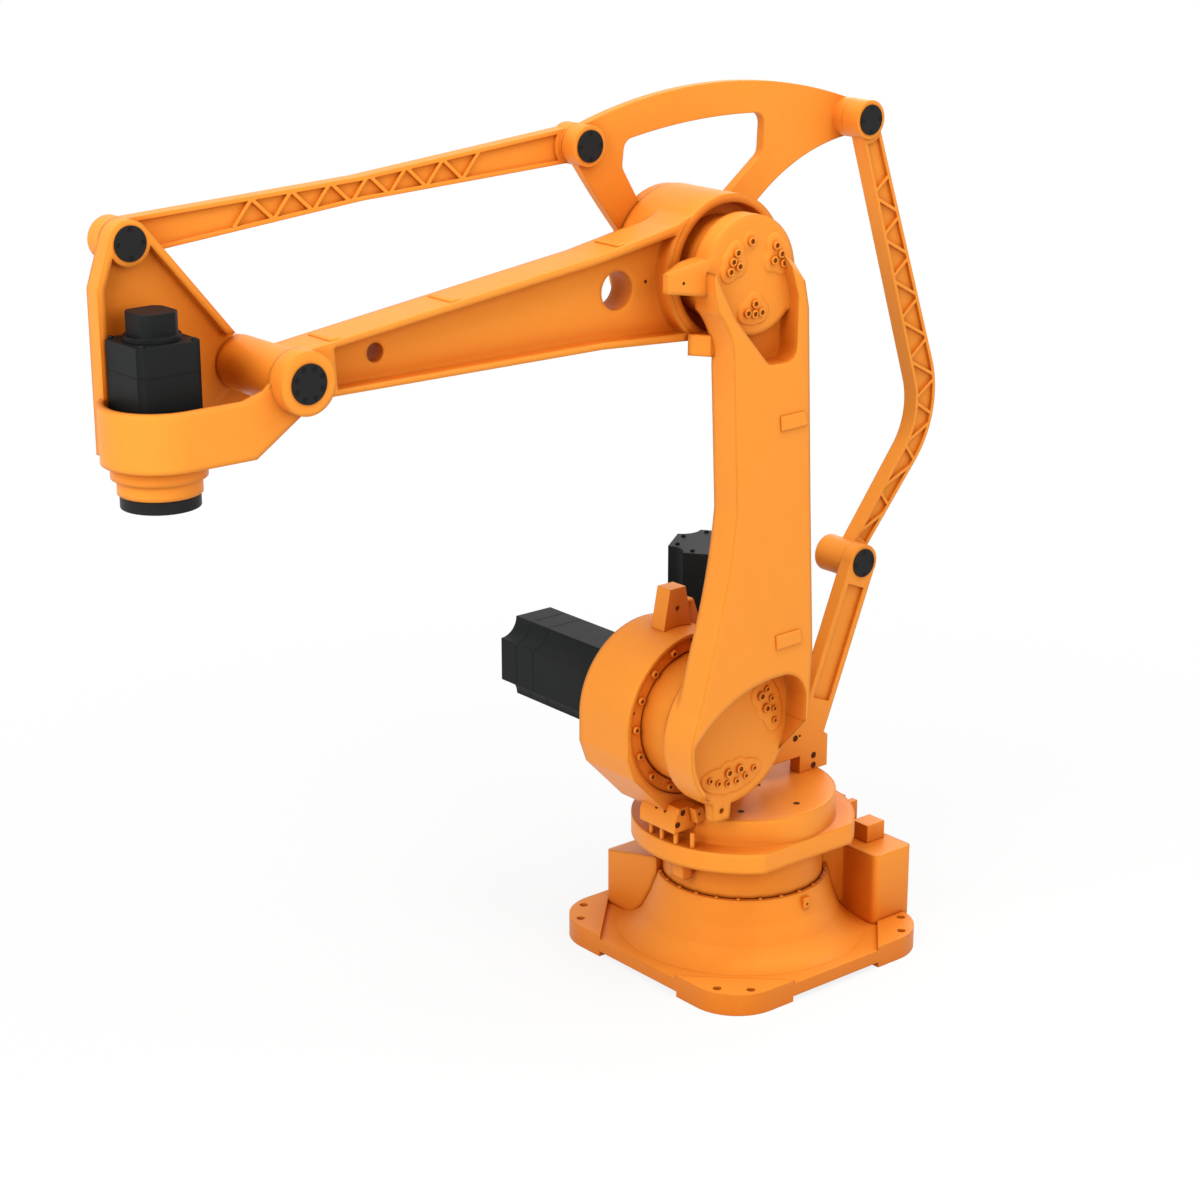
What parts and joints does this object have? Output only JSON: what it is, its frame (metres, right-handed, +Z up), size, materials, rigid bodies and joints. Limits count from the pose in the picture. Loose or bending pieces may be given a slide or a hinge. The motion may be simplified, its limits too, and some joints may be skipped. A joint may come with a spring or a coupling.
{
  "type": "industrial robot arm",
  "caption": "Four-axis palletising robot arm on a bolted foot, with a levelling linkage of rods that keeps the tool flange facing down.",
  "frame": {"origin": "point where the waist's turning axis meets the underside of the base plate", "axes": "+X forward, the way the arm reaches at rest, +Y towards the side that carries the lower arm, +Z up"},
  "size_m": [2.0447, 0.805, 1.8442],
  "materials": {
    "orange_enamel": "satin",
    "motor_black": "semi-gloss",
    "pin_steel": "blackened",
    "flange_steel": "blackened"
  },
  "bodies": {
    "base": {"base_plate": "orange_enamel", "pedestal": "orange_enamel", "waist_case": "orange_enamel", "rear_housing": "orange_enamel", "plug_blocks": "orange_enamel"},
    "turntable": {"turntable": "orange_enamel", "waist_motor": "motor_black", "shoulder_housing": "orange_enamel", "stop_lug": "orange_enamel", "shoulder_gear_ring": "orange_enamel", "shoulder_motor": "motor_black", "rear_post": "orange_enamel", "rear_post_pin": "pin_steel"},
    "lower_arm": {"lower_arm": "orange_enamel", "shoulder_hub": "orange_enamel", "elbow_hub": "orange_enamel"},
    "lever": {"lever": "orange_enamel", "lever_front_pin": "pin_steel", "lever_rear_pin": "pin_steel"},
    "forearm": {"forearm": "orange_enamel", "elbow_motor": "motor_black"},
    "rear_rod": {"rear_rod": "orange_enamel"},
    "upper_rod": {"upper_rod": "orange_enamel"},
    "wrist_bracket": {"wrist_bracket": "orange_enamel", "wrist_pin": "pin_steel", "bracket_top_pin": "pin_steel", "wrist_case": "orange_enamel", "wrist_motor": "motor_black", "wrist_motor_cap": "motor_black"},
    "tool_flange": {"tool_flange": "flange_steel"}
  },
  "joints": [
    {"name": "waist_turn", "type": "hinge", "parent": "base", "child": "turntable", "pos_m": [0, 0, 0], "axis": [0, 0, 1], "range_deg": [-165, 165]},
    {"name": "lower_arm_swing", "type": "hinge", "parent": "turntable", "child": "lower_arm", "pos_m": [0.168, 0, 0.567], "axis": [0, 1, 0], "range_deg": [-24, 80]},
    {"name": "lever_level", "type": "hinge", "parent": "lower_arm", "child": "lever", "pos_m": [0.15712, 0, 1.51194], "axis": [0, 1, 0], "range_deg": [-80, 24]},
    {"name": "forearm_swing", "type": "hinge", "parent": "lever", "child": "forearm", "pos_m": [0.15712, 0, 1.51194], "axis": [0, 1, 0], "range_deg": [-24, 46]},
    {"name": "wrist_level", "type": "hinge", "parent": "forearm", "child": "wrist_bracket", "pos_m": [1.1648, 0, 1.44359], "axis": [0, 1, 0], "range_deg": [-46, 24]},
    {"name": "tool_turn", "type": "hinge", "parent": "wrist_bracket", "child": "tool_flange", "pos_m": [1.3838, 0, 1.23859], "axis": [0, 0, 1], "range_deg": [-300, 300]},
    {"name": "rear_rod_swing", "type": "hinge", "parent": "turntable", "child": "rear_rod", "pos_m": [-0.316, 0, 0.801], "axis": [0, 1, 0], "range_deg": [-24, 80]},
    {"name": "upper_rod_swing", "type": "hinge", "parent": "lever", "child": "upper_rod", "pos_m": [0.37611, 0, 1.75194], "axis": [0, 1, 0], "range_deg": [-24, 46]}
  ],
  "couplings": [
    {"joint": "lever_level", "follows": "lower_arm_swing", "ratio": -1},
    {"joint": "rear_rod_swing", "follows": "lower_arm_swing", "ratio": 1},
    {"joint": "wrist_level", "follows": "forearm_swing", "ratio": -1},
    {"joint": "upper_rod_swing", "follows": "forearm_swing", "ratio": 1}
  ]
}
